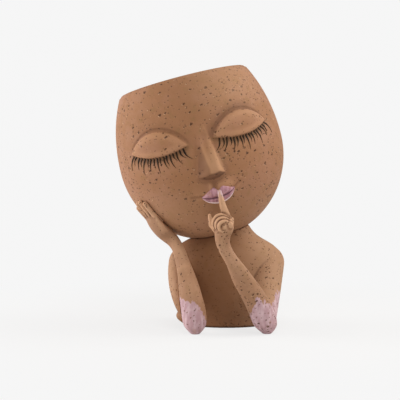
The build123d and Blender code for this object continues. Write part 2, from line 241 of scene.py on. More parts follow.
lid_middle = on_head(*EYES["left"][:2])
lid_proud = float(eye_height(lid_middle, *EYES["left"]))
print("Middle of the left lid in mm:", lid_middle.round(1), "proud by", round(lid_proud, 2))

# %% [markdown]
# ## Nose and muzzle
# The real nose is a wedge with four planes, and the muzzle is a few low swellings. The planes could
# be extruded and bevelled one by one. Here the nose is the lowest of four slopes at each place, and
# one value rounds all the edges between them alike.

# %% Nose: two sides, a bridge and an underside
NOSE_TURN, NOSE_TIP_LEVEL = 4.8, -11.5
NOSE_ROUND, NOSE_FADE = 0.75, 1.4
NOSE_TOP_BANK, NOSE_FOOT_BANK = (34, 26), (-16, -10)
NOSE_LEFT_FOOT, NOSE_LEFT_TOP, NOSE_LEFT_SLOPE = (-11.3, -2.2), (-3.7, 27.2), 0.95
NOSE_RIGHT_FOOT, NOSE_RIGHT_TOP, NOSE_RIGHT_SLOPE = (7.9, -3.0), (2.2, 27.0), 1.9
BRIDGE_PLACES = (-20, -3, 0, 4, 9, 16, 22, 28, 34)
BRIDGE_HEIGHTS = (8.4, 8.2, 7.8, 6.2, 4.4, 2.3, 1.0, 0.3, 0.0)
UNDERSIDE_SLOPE, UNDERSIDE_DROP, UNDERSIDE_LEAN, UNDERSIDE_BOW = 1.45, 8.4, 0.12, 0.03
UNDERSIDE_MIDDLE = 0.5


def rise_from(across, up, start, end, slope):
    """A slope that rises to the left of the line from start to end."""
    (ax, ay), (bx, by) = start, end
    length = sqrt((bx - ax) ** 2 + (by - ay) ** 2)
    return slope * ((bx - ax) * (up - ay) - (by - ay) * (across - ax)) / length


def nose_slopes(points):
    """Heights of the left side, right side, bridge and underside, and the place up the face."""
    across, up = to_plane(face_axes(NOSE_TURN, NOSE_TIP_LEVEL), points)
    left_side = rise_from(across, up, NOSE_LEFT_FOOT, NOSE_LEFT_TOP, -NOSE_LEFT_SLOPE)
    right_side = rise_from(across, up, NOSE_RIGHT_FOOT, NOSE_RIGHT_TOP, NOSE_RIGHT_SLOPE)
    bridge = smooth_line(BRIDGE_PLACES, BRIDGE_HEIGHTS, up)
    bow = UNDERSIDE_BOW * (across - UNDERSIDE_MIDDLE) ** 2
    underside = UNDERSIDE_SLOPE * (up + UNDERSIDE_DROP - UNDERSIDE_LEAN * across - bow)
    return np.stack((left_side, right_side, bridge, underside)), up


def nose_height(points):
    """Height of the nose: the lowest of its slopes, with round edges between them."""
    slopes, up = nose_slopes(points)
    lowest = slopes.min(axis=0)
    height = lowest - NOSE_ROUND * np.log(np.exp(-(slopes - lowest) / NOSE_ROUND).sum(axis=0))
    above_skin = 0.5 * (height + np.sqrt(height**2 + NOSE_FADE))
    return above_skin * soft_step(*NOSE_TOP_BANK, up) * soft_step(*NOSE_FOOT_BANK, up)


def nose_shade(points):
    """Share of painted shade on the underside and, more thinly, on the left side of the nose."""
    slopes, up = nose_slopes(points)
    left_side, right_side, bridge, underside = slopes
    proud = soft_step(0.0, 1.5, slopes.min(axis=0))
    under = soft_step(0.6, -0.8, underside - np.minimum(np.minimum(left_side, right_side), bridge))
    left = soft_step(0.6, -0.8, left_side - np.minimum(np.minimum(underside, right_side), bridge))
    return proud * (0.72 * under + 0.5 * left * soft_step(26, 8, up))


# %% Muzzle: swellings, the groove above the lips and a smile line at each corner
MOUTH_TURN, MOUTH_LEVEL = 5.0, -30.5
SWELLINGS = ((2.3, (0, 3), (21, 15)), (0.7, (0, -12), (15, 9)), (1.2, (5.5, 7), (9, 6.5)))
GROOVE_FOOT, GROOVE_FADE = (4.5, 6.5), 4
GROOVE_DEPTH, GROOVE_PLACE, GROOVE_WIDTH, GROOVE_TOP = 0.9, -1.4, 1.5, 14
RIDGE_HEIGHT, RIDGE_PLACE, RIDGE_WIDTH, RIDGE_TOP = 0.5, -4.6, 1.3, 13
SMILE_DEPTH, SMILE_WIDTH = 0.8, 1.0
LEFT_SMILE = ((-14, 0.5), 0.03, (-20.5, -17.5), (-9, -12))
RIGHT_SMILE = ((12, 2.6), 0.42, (18.0, 15.5), (9, 11.5))


def upright_line(across, up, height, place, width, top):
    """A soft upright line between the lips and the nose."""
    profile = height * np.exp(-(((across - place) / width) ** 2))
    return profile * soft_step(*GROOVE_FOOT, up) * soft_step(top, top - GROOVE_FADE, up)


def smile_line(across, up, middle, slope, outer_end, inner_end):
    """Depth of a soft line beside the mouth."""
    off_line = up - middle[1] - (across - middle[0]) * slope
    profile = SMILE_DEPTH * np.exp(-((off_line / SMILE_WIDTH) ** 2))
    return profile * soft_step(*outer_end, across) * soft_step(*inner_end, across)


def mouth_height(points):
    """Height of the muzzle, with the groove above the lips and the two smile lines."""
    across, up = to_plane(face_axes(MOUTH_TURN, MOUTH_LEVEL), points)
    height = 0
    for rise, (x, y), (wide, tall) in SWELLINGS:
        height = height + rise * soft_step(1.0, 0.05, np.hypot((across - x) / wide, (up - y) / tall))
    height = height - upright_line(across, up, GROOVE_DEPTH, GROOVE_PLACE, GROOVE_WIDTH, GROOVE_TOP)
    height = height + upright_line(across, up, RIDGE_HEIGHT, RIDGE_PLACE, RIDGE_WIDTH, RIDGE_TOP)
    return height - smile_line(across, up, *LEFT_SMILE) - smile_line(across, up, *RIGHT_SMILE)


def carving(points):
    """Height of the whole face over the egg form, for points on it in mm."""
    height = nose_height(points) + mouth_height(points)
    for turn, level, side in EYES.values():
        height = height + eye_height(points, turn, level, side)
    front = points[..., 1] < HEAD_CENTRE[1]
    return np.where(front, height, 0)


sample = on_head(np.array((NOSE_TURN, EYES["left"][0])), np.array((NOSE_TIP_LEVEL, EYES["left"][1])))
print("Nose and lid stand proud by, in mm:", carving(sample).round(2))

# %% [markdown]
# ## Turning the head
# The head is a thick-walled pot, so its section can be turned on its axis as on a wheel. Spin makes
# the face side in fine steps, to hold the carving, and the back in coarse ones. The carving is then
# pressed in by moving each outer point square to the form.

# %% Section of the pot, from the drain up the bowl, over the rim and down the outside
RIM_ANGLES = (22, 45, 68, 90)
CARVED_TOP, CARVED_FOOT = 44, -48


def arc_levels(start, end, high, steps):
    """Levels at even angles of an ellipse of that half height."""
    return high * np.sin(np.linspace(np.arcsin(start / high), np.arcsin(end / high), steps))


def pot_section():
    """Radius and level of each point of the closed section."""
    bowl_wide, bowl_high, bowl_low = HEAD_RADIUS - WALL, CROWN_RISE - WALL, CHIN_DROP - FLOOR
    drain_top = -bowl_low * sqrt(1 - (DRAIN_RADIUS / bowl_wide) ** 2)
    spigot_top = -CHIN_DROP * sqrt(1 - (SPIGOT_RADIUS / HEAD_RADIUS) ** 2)
    rim_foot = RIM_LEVEL - RIM_ROUND
    inside = np.concatenate((
        arc_levels(drain_top, 0, bowl_low, 14)[:-1],
        arc_levels(0, rim_foot, bowl_high, 10),
    ))
    section = [(float(egg_radius(v, bowl_wide, bowl_high, bowl_low)), float(v)) for v in inside]
    low_edge = float(egg_radius(RIM_LEVEL, bowl_wide, bowl_high, bowl_low))
    high_edge = float(egg_radius(RIM_LEVEL))
    turns = [radians(angle) for angle in RIM_ANGLES]
    quarter = [(RIM_ROUND * (1 - cos(turn)), RIM_LEVEL - RIM_ROUND * (1 - sin(turn))) for turn in turns]
    section += [(low_edge + aside, level) for aside, level in quarter]
    section.append(((low_edge + high_edge) / 2, RIM_LEVEL))
    section += [(high_edge - aside, level) for aside, level in reversed(quarter)]
    outside = np.concatenate((
        arc_levels(rim_foot, CARVED_TOP, CROWN_RISE, 8)[:-1],
        arc_levels(CARVED_TOP, 0, CROWN_RISE, 84)[:-1],
        arc_levels(0, CARVED_FOOT, CHIN_DROP, 92)[:-1],
        arc_levels(CARVED_FOOT, spigot_top, CHIN_DROP, 14),
    ))
    section += [(float(egg_radius(v)), float(v)) for v in outside]
    section += [(SPIGOT_RADIUS, SPIGOT_LEVEL), (DRAIN_RADIUS, SPIGOT_LEVEL)]
    return section


section = pot_section()
print("Points of the section:", len(section))

# %% Spin the section, the face side in fine steps
FINE_STEP, COARSE_STEP = 0.5, 4.0
FACE_HALF_TURN = 82.0
start = radians(-FACE_HALF_TURN)
start_way = sin(start) * ACROSS - cos(start) * DEEP
outline = [HEAD_CENTRE + UP * level + start_way * reach for reach, level in section]
head_mesh = bpy.data.meshes.new("leaning_head")
edges = [(i, (i + 1) % len(outline)) for i in range(len(outline))]
head_mesh.from_pydata([tuple(p * MM) for p in outline], edges, [])
leaning_head = bpy.data.objects.new("leaning_head", head_mesh)
bpy.context.collection.objects.link(leaning_head)


def enter_edit(piece):
    """Selects one piece alone and opens all of it for editing."""
    bpy.ops.object.select_all(action="DESELECT")
    bpy.context.view_layer.objects.active = piece
    piece.select_set(True)
    bpy.ops.object.mode_set(mode="EDIT")
    bpy.ops.mesh.select_all(action="SELECT")


def close_edit():
    """Merges doubles, turns the faces outwards and goes back to object mode."""
    bpy.ops.mesh.select_all(action="SELECT")
    bpy.ops.mesh.remove_doubles(threshold=0.002 * MM)
    bpy.ops.mesh.normals_make_consistent(inside=False)
    bpy.ops.object.mode_set(mode="OBJECT")


enter_edit(leaning_head)
front_turn = radians(2 * FACE_HALF_TURN)
back_turn = 2 * pi - front_turn
for sweep, step in ((front_turn, FINE_STEP), (back_turn, COARSE_STEP)):
    steps = round(degrees(sweep) / step)
    bpy.ops.mesh.spin(steps=steps, angle=sweep, center=HEAD_CENTRE * MM, axis=-UP)
close_edit()
print("Faces of the head:", len(leaning_head.data.polygons))

# %% Press the carving in, and keep the painted shade below and above the lids and by the nose
NEAR_FORM, CARVING_FOOT = 0.05, -60


def read_points(piece):
    """The piece's points in mm."""
    flat = np.empty(len(piece.data.vertices) * 3)
    piece.data.vertices.foreach_get("co", flat)
    return flat.reshape(-1, 3) / MM


def write_points(piece, points):
    """Puts points in mm back on the piece."""
    piece.data.vertices.foreach_set("co", (points * MM).ravel())
    piece.data.update()


def smooth_faces(piece):
    """Shades every face of the piece smooth."""
    piece.data.polygons.foreach_set("use_smooth", [True] * len(piece.data.polygons))


def keep_value(piece, name, values):
    """Stores a number for each point, under a name that a material can read."""
    piece.data.attributes.new(name, "FLOAT", "POINT").data.foreach_set("value", values)


points = read_points(leaning_head)
turn, level, reach = turn_and_level(points)
outer = (np.abs(reach - egg_radius(level)) < NEAR_FORM) & (level > CARVING_FOOT)
outer &= level < RIM_LEVEL - RIM_ROUND
height = np.where(outer, carving(points), 0)
square = on_head(turn, level, np.ones(len(turn))) - on_head(turn, level, np.zeros(len(turn)))
write_points(leaning_head, points + square * height[:, None])
smooth_faces(leaning_head)
on_face = outer & (points[:, 1] < HEAD_CENTRE[1])
# Painted shade on the skin just below each lid.
keep_value(leaning_head, "below_lid_shade", sum(shade_below_lid(points, *eye) for eye in EYES.values()) * on_face)
# Painted shade beside and under the nose, and in the hollows above the lids.
shade = nose_shade(points) + sum(lid_shade(points, *eye) for eye in EYES.values())
keep_value(leaning_head, "shade", shade * on_face)
print("Carved points:", int(outer.sum()), "highest in mm:", round(float(height.max()), 2))

# %% [markdown]
# ## Lips and lashes lie on the carving
# The lips are a soft pillow set over the muzzle, and the lashes are strokes of thick paint. Each
# starts as a flat grid whose squares are laid on the carved face. Solidify then gives the paint its
# thickness, so all of them are closed forms. A flat picture of them would be quicker to make, but
# real paint this thick casts a shadow and shows from the side.

# %% Lay a grid on the face
def grid_piece(name, columns, rows):
    """A flat grid from -1 to 1 both ways, and its places."""
    bpy.ops.object.select_all(action="DESELECT")
    bpy.ops.mesh.primitive_grid_add(x_subdivisions=columns, y_subdivisions=rows, size=2)
    piece = bpy.context.object
    piece.name = name
    places = np.empty(len(piece.data.vertices) * 3)
    piece.data.vertices.foreach_get("co", places)
    places = places.reshape(-1, 3)
    return piece, places[:, 0], places[:, 1]


def lay_on_face(piece, axes, across, up, lift):
    """Moves the grid's points onto the carved face, lifted by a height in mm."""
    turn, level = from_plane(axes, across, up)
    base = on_head(turn, level, np.zeros(len(turn)))
    write_points(piece, on_head(turn, level, carving(base) + lift))
    smooth_faces(piece)


def thicken(piece, thickness):
    """Gives a sheet its thickness inwards and applies it."""
    enter_edit(piece)
    bpy.ops.mesh.normals_make_consistent(inside=False)
    bpy.ops.object.mode_set(mode="OBJECT")
    outwards = sum((face.normal for face in piece.data.polygons), Vector())
    middle = sum((v.co for v in piece.data.vertices), Vector()) / len(piece.data.vertices)
    if outwards.dot(middle - Vector(HEAD_CENTRE * MM)) < 0:
        piece.data.flip_normals()
    wall = piece.modifiers.new("thickness", "SOLIDIFY")
    wall.thickness = thickness * MM
    wall.offset = -1
    bpy.ops.object.modifier_apply(modifier=wall.name)


lips_axes = face_axes(MOUTH_TURN, MOUTH_LEVEL)
print("Middle of the mouth in mm:", lips_axes[0].round(1))

# %% Lips: three lines across and a pillow between them
LIPS_HALF_WIDTH, CORNER_RISE = 11.8, 2.0
TOP_PLACES, TOP_HEIGHTS = (-9, -6.2, -3.1, 0, 3.1, 6.2, 9), (2.5, 4.8, 6.5, 4.9, 6.6, 5.4, 3.6)
SEAM_PLACES, SEAM_HEIGHTS = (-6, 0, 6), (-0.9, -0.6, -0.2)
LOW_PLACES, LOW_HEIGHTS = (-9, -5, 0, 5, 9), (-3.2, -5.3, -6.1, -5.2, -2.2)
UPPER_FULLNESS, LOWER_FULLNESS, LOWER_RIM = 1.9, 2.1, 0.4
DIP_DEPTH, DIP_WIDTH = 0.8, 1.6
LIP_LIFT, LIP_THICKNESS = 0.15, 0.9


def lip_line(places, heights, out):
    """A line across the mouth, from the low left corner to the raised right one."""
    places = (-LIPS_HALF_WIDTH, *places, LIPS_HALF_WIDTH)
    return smooth_line(places, (0, *heights, CORNER_RISE), out)


painted_lips, along, cross = grid_piece("painted_lips", 96, 48)
out = along * LIPS_HALF_WIDTH
top_line = lip_line(TOP_PLACES, TOP_HEIGHTS, out)
seam_line = lip_line(SEAM_PLACES, SEAM_HEIGHTS, out)
low_line = lip_line(LOW_PLACES, LOW_HEIGHTS, out)
upper_share, lower_share = np.clip(cross, 0, 1), np.clip(-cross, 0, 1)
up = seam_line + (top_line - seam_line) * upper_share + (low_line - seam_line) * lower_share
fullness = np.sqrt(np.clip(1 - along**2, 0, 1))
upper_lip = UPPER_FULLNESS * np.sin(pi * upper_share) ** 0.7 * (1 - 0.25 * upper_share)
lower_lip = LOWER_FULLNESS * np.sin(pi * lower_share) ** 0.6 + LOWER_RIM * soft_step(0.6, 0.95, lower_share)
dip = DIP_DEPTH * np.exp(-((out / DIP_WIDTH) ** 2)) * upper_share
lift = LIP_LIFT + fullness * (upper_lip + lower_lip - dip)
lay_on_face(painted_lips, lips_axes, out, up, lift)
# Painted highlight along the rim of the lower lip, and painted shade in the seam between the lips.
lit_rim = soft_step(0.5, 0.75, lower_share) * soft_step(1.0, 0.9, np.abs(along))
keep_value(painted_lips, "rim_light_seam_shade", lit_rim - soft_step(0.2, 0.02, np.abs(cross)))
thicken(painted_lips, LIP_THICKNESS)
print("Faces of the lips:", len(painted_lips.data.polygons))

# %% Lashes
LASH_COUNT, LONG_LASH, SHORT_LASH, LASH_WIDTH = 17, 9.8, 6.4, 1.25
LASH_FAN, LASH_BOW = 36.0, 1.1
LASH_LIFT, LASH_THICKNESS = 0.22, 0.5
SPREAD_SHARE, FIRST_SHARE, LID_SHARE = 1.86, 0.89, 0.97


def lash_strokes(name, turn, level, side):
    """The painted strokes under one lid, joined to one piece."""
    axes = face_axes(turn, level)
    inner, outer_corner = (-side * LID_HALF_WIDTH, INNER_DIP), (side * LID_HALF_WIDTH, OUTER_DIP)
    low_centre, low_radius = circle_through(inner, (0, -LID_SAG), outer_corner)
    strokes = []
    for number in range(LASH_COUNT):
        share = side * (SPREAD_SHARE * (number + 0.5) / LASH_COUNT - FIRST_SHARE)
        out = share * LID_HALF_WIDTH * LID_SHARE
        root = low_centre[1] - sqrt(low_radius**2 - (out - low_centre[0]) ** 2)
        wobble = sin(number * 2.4) * 6
        length = (LONG_LASH if number % 2 == 0 else SHORT_LASH) * (1 + 0.12 * sin(number * 1.7))
        lean = radians(-90 + LASH_FAN * share + wobble)
        way, square_way = np.array((cos(lean), sin(lean))), np.array((-sin(lean), cos(lean)))
        stroke, run, width = grid_piece(f"{name}_{number}", 14, 2)
        run = (run + 1) / 2
        taper = (1 - run) ** 0.8 * (0.8 + 0.4 * np.sin(pi * np.clip(run * 1.6, 0, 1))) + 0.05
        bow = LASH_BOW * np.sin(pi * run) * -side * (0.4 + abs(share))
        start = np.array((out, root + 0.2))
        aside = width * LASH_WIDTH / 2 * taper - bow
        place = start + (way * length) * run[:, None] + square_way * aside[:, None]
        lay_on_face(stroke, axes, place[:, 0], place[:, 1], LASH_LIFT)
        thicken(stroke, LASH_THICKNESS)
        strokes.append(stroke)
    bpy.ops.object.select_all(action="DESELECT")
    for stroke in strokes:
        stroke.select_set(True)
    bpy.context.view_layer.objects.active = strokes[0]
    bpy.ops.object.join()
    strokes[0].name = name
    strokes[0].data.name = name
    return strokes[0]


left_strokes = lash_strokes("left_lash_strokes", *EYES["left"])
right_strokes = lash_strokes("right_lash_strokes", *EYES["right"])
print("Faces of the lashes:", len(left_strokes.data.polygons), len(right_strokes.data.polygons))

# %% [markdown]
# ## Soft limbs from the CAD solids
# A casting has no sharp line where a finger meets the palm or an arm meets the shoulder. A voxel
# remesh melts the solid into one even skin, and a light smooth rounds its inner corners. The same
# smoothing, taken further on a copy of the points, tells edges from hollows: what it pulls in is an
# edge, and what it pushes out is a hollow. That is kept on the mesh for the paint: darker hollows,
# partly a wash and partly painted shade, and lighter edges, partly worn paint and partly painted
# highlight.

# %% Remesh a node and read its edges and hollows
def vertex_links(piece):
    """The two ends of every edge, and how many edges each point has."""
    ends = np.empty(len(piece.data.edges) * 2, int)
    piece.data.edges.foreach_get("vertices", ends)
    first, second = ends[0::2], ends[1::2]
    count = np.bincount(first, minlength=len(piece.data.vertices))
    return first, second, count + np.bincount(second, minlength=len(count))


def relaxed(points, links, rounds):
    """Points after that many rounds of moving halfway to their neighbours' middle."""
    first, second, count = links
    for _ in range(rounds):
        total = np.stack([
            np.bincount(first, points[second, axis], len(points))
            + np.bincount(second, points[first, axis], len(points))
            for axis in range(points.shape[1])
        ], axis=1)
        points = points + 0.5 * (total / count[:, None] - points)
    return points


def mark_edges(piece, rounds, full, height=None):
    """Keeps how far each point stands out of its surroundings, from -1 in a hollow to 1 on an edge.

    It is measured along the point's normal, or on a carving height where one is given.
    """
    if height is None:
        points = read_points(piece)
        normals = np.empty(len(points) * 3)
        piece.data.vertices.foreach_get("normal", normals)
        moved = points - relaxed(points, vertex_links(piece), rounds)
        proud = (moved * normals.reshape(-1, 3)).sum(1) / full
    else:
        proud = (height - relaxed(height[:, None], vertex_links(piece), rounds)[:, 0]) / full
    keep_value(piece, "proud", np.clip(proud, -1, 1))


def soft_copy(node, name, voxel, rounds):
    """A merged, remeshed and smoothed copy of a CAD node."""
    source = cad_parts[node]
    piece = bpy.data.objects.new(name, source.data.copy())
    piece.data.name = name
    bpy.context.collection.objects.link(piece)
    enter_edit(piece)
    close_edit()
    remesh = piece.modifiers.new("skin", "REMESH")
    remesh.mode = "VOXEL"
    remesh.voxel_size = voxel * MM
    bpy.ops.object.modifier_apply(modifier=remesh.name)
    write_points(piece, relaxed(read_points(piece), vertex_links(piece), rounds))
    smooth_faces(piece)
    print(name, "faces:", len(piece.data.polygons))
    return piece


# %% Bust and arms: node, voxel in mm and smoothing rounds
ELBOW_ROUND_TOP, ELBOW_ROUND = 7.0, 0.42
LEFT_ELBOW_MIDDLE, RIGHT_ELBOW_MIDDLE = (-22.6, -48.4), (27.4, -46.4)


def round_elbow(piece, middle):
    """Draws the lowest part of an arm in towards its middle, so the elbow ends in a soft bowl."""
    points = read_points(piece)
    share = np.clip((ELBOW_ROUND_TOP - points[:, 2]) / ELBOW_ROUND_TOP, 0, 1)[:, None]
    middle = np.array(middle)
    points[:, :2] = middle + (points[:, :2] - middle) * (1 - ELBOW_ROUND * share**2)
    write_points(piece, points)


bust = soft_copy("torso", "bust", 0.75, 6)
cheek_arm = soft_copy("cheek_forearm", "cheek_arm", 0.42, 4)
hush_arm = soft_copy("hush_forearm", "hush_arm", 0.38, 4)
round_elbow(cheek_arm, LEFT_ELBOW_MIDDLE)
round_elbow(hush_arm, RIGHT_ELBOW_MIDDLE)

# %% Edges and hollows: rounds of smoothing, and the height in mm that counts as a full edge
mark_edges(leaning_head, 60, 0.4, height)
for piece, rounds, full in ((bust, 12, 0.35), (cheek_arm, 14, 0.1), (hush_arm, 14, 0.1)):
    mark_edges(piece, rounds, full)
print("Marked edges on:", [piece.name for piece in (leaning_head, bust, cheek_arm, hush_arm)])

# %% [markdown]
# ## Shared effects of the finish
# Three effects turn up in more than one paint. Pits are small bubbles of the casting, each with a
# lit lip. Mottling is the slow change of tone in the tinted resin. Brush streaks break the edge of
# the hand-painted patches. Each is a node group with named inputs, built once.

# %% Helpers for node groups
def new_group(name, inputs, outputs):
    """An empty shader group with named float, vector or colour sockets."""
    group = bpy.data.node_groups.new(name, "ShaderNodeTree")
    for label, kind, value in inputs:
        socket = group.interface.new_socket(name=label, in_out="INPUT", socket_type=kind)
        if value is not None:
            socket.default_value = value
    for label, kind in outputs:
        group.interface.new_socket(name=label, in_out="OUTPUT", socket_type=kind)
    return group, group.nodes.new("NodeGroupInput"), group.nodes.new("NodeGroupOutput")


def feed(tree, socket, value):
    """Links an output to a socket, or sets a plain value on it."""
    if isinstance(value, bpy.types.NodeSocket):
        tree.links.new(value, socket)
    else:
        socket.default_value = value


def maths(tree, operation, *values, clamp=False):
    """A maths node on sockets or plain numbers."""
    node = tree.nodes.new("ShaderNodeMath")
    node.operation = operation
    node.use_clamp = clamp
    for socket, value in zip(node.inputs, values):
        feed(tree, socket, value)
    return node.outputs[0]


def ramp(tree, value, low, high, low_out=0.0, high_out=1.0):
    """A smooth step of a value between two ends."""
    node = tree.nodes.new("ShaderNodeMapRange")
    node.interpolation_type = "SMOOTHSTEP"
    feed(tree, node.inputs["Value"], value)
    feed(tree, node.inputs["From Min"], low)
    feed(tree, node.inputs["From Max"], high)
    feed(tree, node.inputs["To Min"], low_out)
    feed(tree, node.inputs["To Max"], high_out)
    return node.outputs["Result"]


def noise(tree, place, scale, detail=3.0, roughness=0.5):
    """Noise on a place, its value from 0 to 1."""
    node = tree.nodes.new("ShaderNodeTexNoise")
    feed(tree, node.inputs["Vector"], place)
    feed(tree, node.inputs["Scale"], scale)
    node.inputs["Detail"].default_value = detail
    node.inputs["Roughness"].default_value = roughness
    return node


def vector_maths(tree, operation, *values):
    """A vector maths node on sockets or plain vectors."""
    node = tree.nodes.new("ShaderNodeVectorMath")
    node.operation = operation
    for socket, value in zip(node.inputs, values):
        feed(tree, socket, value)
    return node.outputs[0]


def mixed(tree, share, first, second):
    """A colour mix of sockets or plain colours."""
    node = tree.nodes.new("ShaderNodeMix")
    node.data_type = "RGBA"
    feed(tree, node.inputs[0], share)
    feed(tree, node.inputs[6], first)
    feed(tree, node.inputs[7], second)
    return node.outputs[2]


# %% Pits: uneven bubbles, each with a lit lip on its lower left
BUBBLE_TURN, BUBBLE_STRETCH = radians(35), (0.72, 1.0, 1.25)
BUBBLE_WARP, WARP_GRAIN = 0.5, 850.0
LIP_SHIFT, LIP_HEIGHT = 0.13, 0.35


def build_pits():
    """Two looks at the same warped cells, the second moved aside: what it adds is the lit lip."""
    group, entry, leave = new_group(
        "cast_pits",
        [("Place", "NodeSocketVector", None), ("Spacing", "NodeSocketFloat", 0.005),
         ("Size", "NodeSocketFloat", 0.16), ("Cover", "NodeSocketFloat", 0.5)],
        [("Core", "NodeSocketFloat"), ("Lip", "NodeSocketFloat"), ("Height", "NodeSocketFloat")],
    )
    place, spacing = entry.outputs["Place"], entry.outputs["Spacing"]
    scale = maths(group, "DIVIDE", 1.0, spacing)
    warp = noise(group, place, WARP_GRAIN, 2.0).outputs["Color"]
    warp = vector_maths(group, "SUBTRACT", warp, (0.5, 0.5, 0.5))
    scaled = group.nodes.new("ShaderNodeVectorMath")
    scaled.operation = "SCALE"
    group.links.new(warp, scaled.inputs[0])
    group.links.new(maths(group, "MULTIPLY", spacing, BUBBLE_WARP), scaled.inputs["Scale"])
    bent = vector_maths(group, "ADD", place, scaled.outputs[0])
    cover_noise = noise(group, place, 26.0, 2.0).outputs["Fac"]
    density = maths(group, "ADD", cover_noise, maths(group, "SUBTRACT", entry.outputs["Cover"], 0.5))
    aside = maths(group, "MULTIPLY", spacing, LIP_SHIFT)
    shift = group.nodes.new("ShaderNodeCombineXYZ")
    group.links.new(aside, shift.inputs["X"])
    group.links.new(aside, shift.inputs["Z"])
    masks = []
    for spot in (bent, vector_maths(group, "ADD", bent, shift.outputs[0])):
        turned = group.nodes.new("ShaderNodeVectorRotate")
        turned.rotation_type = "Y_AXIS"
        turned.inputs["Angle"].default_value = BUBBLE_TURN
        group.links.new(spot, turned.inputs["Vector"])
        stretched = vector_maths(group, "MULTIPLY", turned.outputs[0], BUBBLE_STRETCH)
        cells = group.nodes.new("ShaderNodeTexVoronoi")
        cells.feature = "F1"
        group.links.new(stretched, cells.inputs["Vector"])
        group.links.new(scale, cells.inputs["Scale"])
        split = group.nodes.new("ShaderNodeSeparateColor")
        group.links.new(cells.outputs["Color"], split.inputs[0])
        chosen = maths(group, "LESS_THAN", split.outputs[0], density)
        size = maths(group, "MULTIPLY", entry.outputs["Size"], maths(group, "ADD", 0.5, split.outputs[1]))
        inner = maths(group, "MULTIPLY", size, 0.7)
        dot = ramp(group, cells.outputs["Distance"], inner, size, 1.0, 0.0)
        masks.append(maths(group, "MULTIPLY", dot, chosen))
    core, moved_core = masks
    lip = maths(group, "SUBTRACT", moved_core, core, clamp=True)
    group.links.new(core, leave.inputs["Core"])
    group.links.new(lip, leave.inputs["Lip"])
    height = maths(group, "SUBTRACT", maths(group, "MULTIPLY", lip, LIP_HEIGHT), core)
    group.links.new(height, leave.inputs["Height"])
    return group


pits_group = build_pits()
print(pits_group.name, "nodes:", len(pits_group.nodes))


# %% Mottling: slow and fine changes of tone
def build_mottle():
    """Three noises of one place, from patches of tone down to the grain."""
    group, entry, leave = new_group(
        "resin_mottle",
        [("Place", "NodeSocketVector", None)],
        [("Slow", "NodeSocketFloat"), ("Fine", "NodeSocketFloat"), ("Grain", "NodeSocketFloat")],
    )
    place = entry.outputs["Place"]
    group.links.new(noise(group, place, 30.0, 3.0, 0.55).outputs["Fac"], leave.inputs["Slow"])
    group.links.new(noise(group, place, 190.0, 4.0, 0.6).outputs["Fac"], leave.inputs["Fine"])
    group.links.new(noise(group, place, 1500.0, 3.0, 0.6).outputs["Fac"], leave.inputs["Grain"])
    return group


mottle_group = build_mottle()
print(mottle_group.name, "nodes:", len(mottle_group.nodes))


# %% Brush streaks: long thin noise that breaks a painted edge
def build_streaks():
    """A noise drawn out along the brush, and a rounder one for the blots."""
    group, entry, leave = new_group(
        "brush_streaks",
        [("Place", "NodeSocketVector", None), ("Stretch", "NodeSocketVector", (1.0, 1.0, 1.0))],
        [("Streak", "NodeSocketFloat"), ("Blot", "NodeSocketFloat")],
    )
    stretched = vector_maths(group, "MULTIPLY", entry.outputs["Place"], entry.outputs["Stretch"])
    group.links.new(noise(group, stretched, 420.0, 3.0, 0.55).outputs["Fac"], leave.inputs["Streak"])
    blots = noise(group, entry.outputs["Place"], 150.0, 3.0, 0.6)
    group.links.new(blots.outputs["Fac"], leave.inputs["Blot"])
    return group


streaks_group = build_streaks()
print("Shared effects:", [group.name for group in (pits_group, mottle_group, streaks_group)])

# %% [markdown]
# ## The cast resin
# The body colour is a warm terracotta brown. Hollows are darker, partly a wash and partly painted
# shade, and edges are lighter, partly rubbed paint and partly painted highlight. The pits show dark,
# with a painted highlight on the lip. Roughness and bump follow the same masks, so the
# surface catches the light unevenly, as an unglazed casting does.

# %% Body material
def linear(code):
    """A colour written as six hex digits, as Blender's linear values."""
    parts = [int(code[i:i + 2], 16) / 255 for i in (0, 2, 4)]
    return tuple(v / 12.92 if v <= 0.04045 else ((v + 0.055) / 1.055) ** 2.4 for v in parts) + (1.0,)


def start_material(name):
    """A material with its shader, its tree and the piece's own coordinates."""
    material = bpy.data.materials.new(name)
    material.use_nodes = True
    tree = material.node_tree
    shader = tree.nodes["Principled BSDF"]
    place = tree.nodes.new("ShaderNodeTexCoord").outputs["Object"]
    return material, tree, shader, place


def add_group(tree, group, **values):
    """Places a shared effect with its own values."""
    node = tree.nodes.new("ShaderNodeGroup")
    node.node_tree = group
    for label, value in values.items():
        feed(tree, node.inputs[label], value)
    return node.outputs


def add_bump(tree, shader, height, distance):
    """Feeds a relief to the shader's normal, with the depth in metres of a height of 1."""
    bump = tree.nodes.new("ShaderNodeBump")
    bump.inputs["Distance"].default_value = distance
    bump.inputs["Strength"].default_value = 1.0
    tree.links.new(height, bump.inputs["Height"])
    tree.links.new(bump.outputs["Normal"], shader.inputs["Normal"])


HEAD_TONES = (linear("976a49"), linear("9d7054"), linear("8c6a46"))
ARM_TONES = (linear("976f52"), linear("9c755a"), linear("8d6c4a"))
